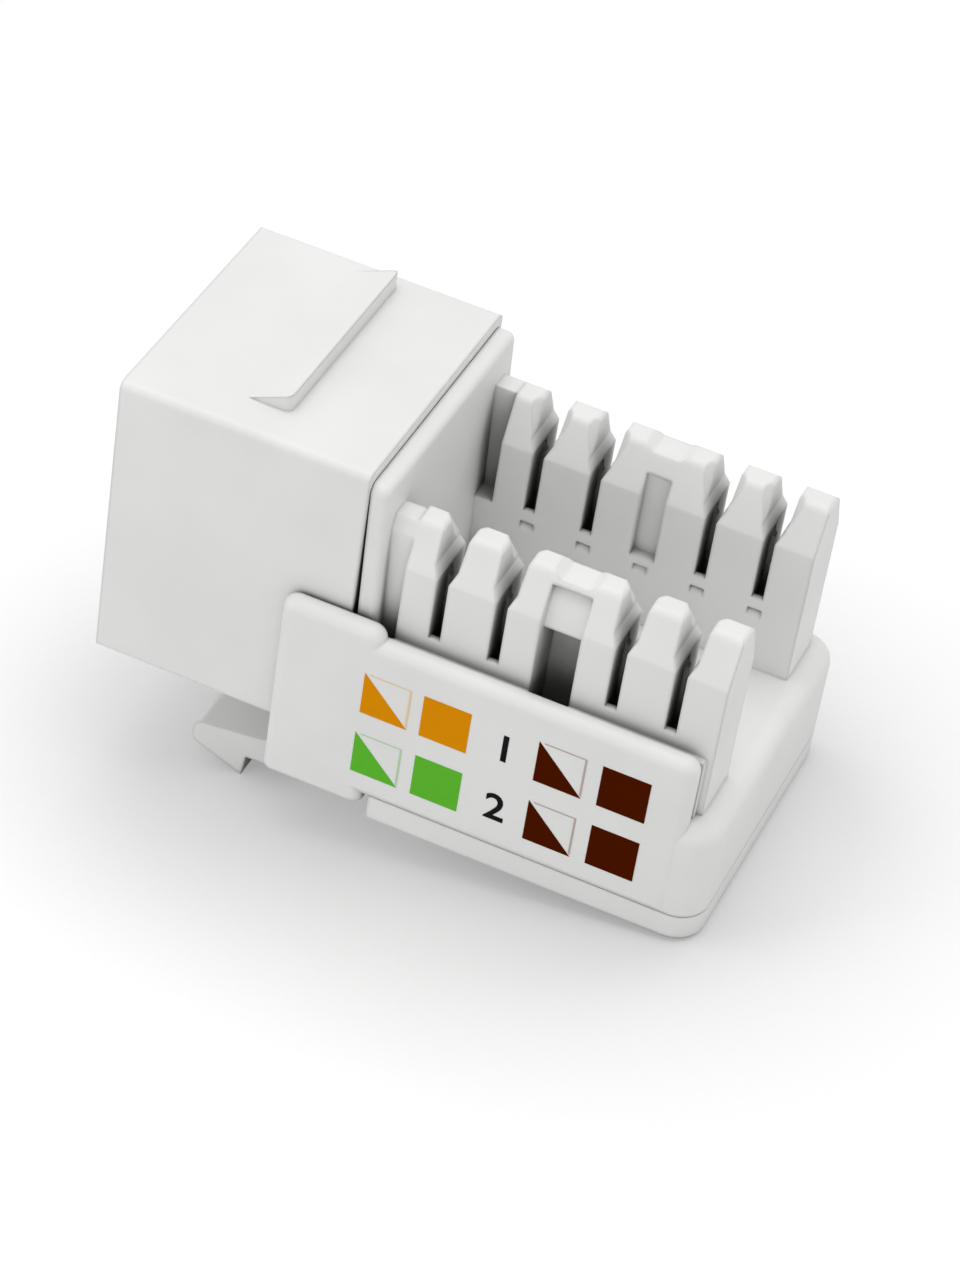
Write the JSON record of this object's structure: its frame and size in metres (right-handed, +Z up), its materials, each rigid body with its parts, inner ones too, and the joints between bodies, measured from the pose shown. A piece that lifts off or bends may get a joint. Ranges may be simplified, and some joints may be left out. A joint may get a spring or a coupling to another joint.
{
  "type": "keystone jack",
  "caption": "Right-angle modular network jack that snaps into a panel opening, with a plug port in front and two rows of punch-down wire towers behind.",
  "frame": {"origin": "middle of the housing's front face, which is the middle of the panel opening it fills", "axes": "+X from the front face to the rear, +Y to the far side from the printed side, +Z up towards the wire towers"},
  "size_m": [0.0313, 0.0168, 0.0228],
  "materials": {
    "white_housing": "moulded satin",
    "white_block": "moulded satin",
    "carrier_plastic": "moulded satin",
    "board_laminate": "solder mask",
    "gold_plate": "gold plated",
    "tin_plate": "tin plated bronze"
  },
  "bodies": {
    "jack": {"front_housing": "white_housing", "terminal_block": "white_block", "base_cover": "white_block", "contact_carrier": "carrier_plastic", "circuit_board": "board_laminate", "contact_spring_1": "gold_plate", "contact_spring_2": "gold_plate", "contact_spring_3": "gold_plate", "contact_spring_4": "gold_plate", "contact_spring_5": "gold_plate", "contact_spring_6": "gold_plate", "contact_spring_7": "gold_plate", "contact_spring_8": "gold_plate", "punch_blade_1": "tin_plate", "punch_blade_2": "tin_plate", "punch_blade_3": "tin_plate", "punch_blade_4": "tin_plate", "punch_blade_5": "tin_plate", "punch_blade_6": "tin_plate", "punch_blade_7": "tin_plate", "punch_blade_8": "tin_plate"},
    "latch": {"panel_latch": "white_housing"}
  },
  "joints": [
    {"name": "latch_flex", "type": "hinge", "parent": "jack", "child": "latch", "pos_m": [0.0113, 0, -0.0085], "axis": [0, 1, 0], "range_deg": [0, 16], "stiffness_Nm_per_rad": 0.3}
  ]
}
